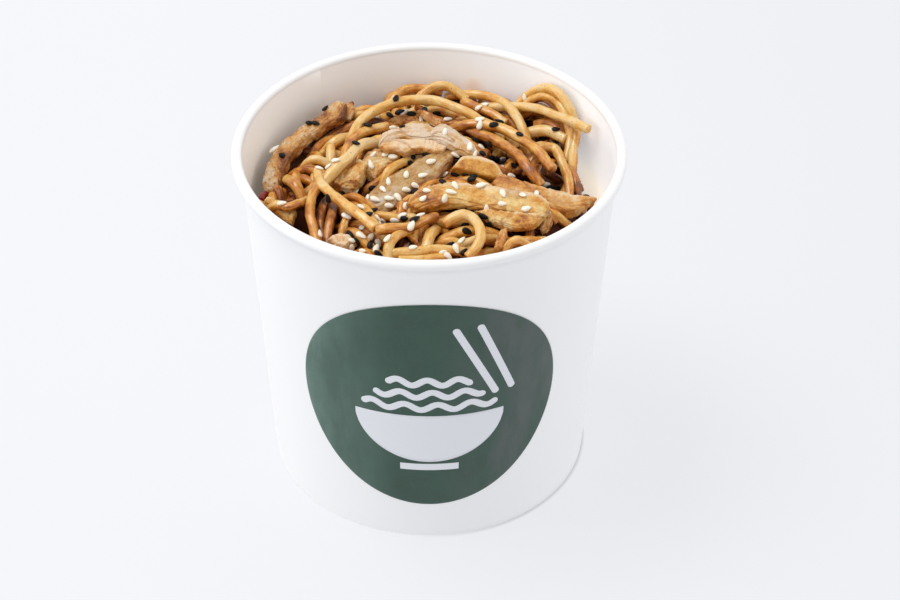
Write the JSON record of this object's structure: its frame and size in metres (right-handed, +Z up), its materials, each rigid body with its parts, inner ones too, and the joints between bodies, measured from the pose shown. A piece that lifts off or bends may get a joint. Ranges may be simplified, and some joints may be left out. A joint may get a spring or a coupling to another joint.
{
  "type": "noodle takeaway tub",
  "caption": "Open round paper tub with a rolled rim and a round sticker, filled with thick noodles, chicken strips, a bit of red pepper and scattered sesame seeds.",
  "frame": {"origin": "middle of the tub's foot, on the surface it stands on", "axes": "+Z up out of the open rim, -Y towards the middle of the sticker, +X to the right of someone who faces the sticker"},
  "size_m": [0.117, 0.117, 0.112],
  "materials": {
    "tub_paper": "white coated paper, soft sheen",
    "sticker": "dark green, semi-gloss",
    "noodles": "cooked wheat noodles, tan, oily sheen",
    "chicken": "cooked chicken, brown and cream, damp",
    "red_pepper": "red skin, wet gloss"
  },
  "bodies": {
    "root": {"tub_wall": "tub_paper", "tub_floor": "tub_paper", "sticker": "sticker", "noodles": "noodles", "chicken_wall_strip": "chicken", "chicken_long_slab": "chicken", "chicken_left_chunk": "chicken", "chicken_mid_chunk": "chicken", "chicken_right_strip": "chicken", "chicken_block": "chicken", "chicken_back_flake": "chicken", "chicken_front_chunk": "chicken", "chicken_rim_chunk": "chicken", "chicken_end_chunk": "chicken", "chicken_front_strip": "chicken", "chicken_top_slab": "chicken", "red_pepper": "red_pepper"}
  },
  "joints": []
}
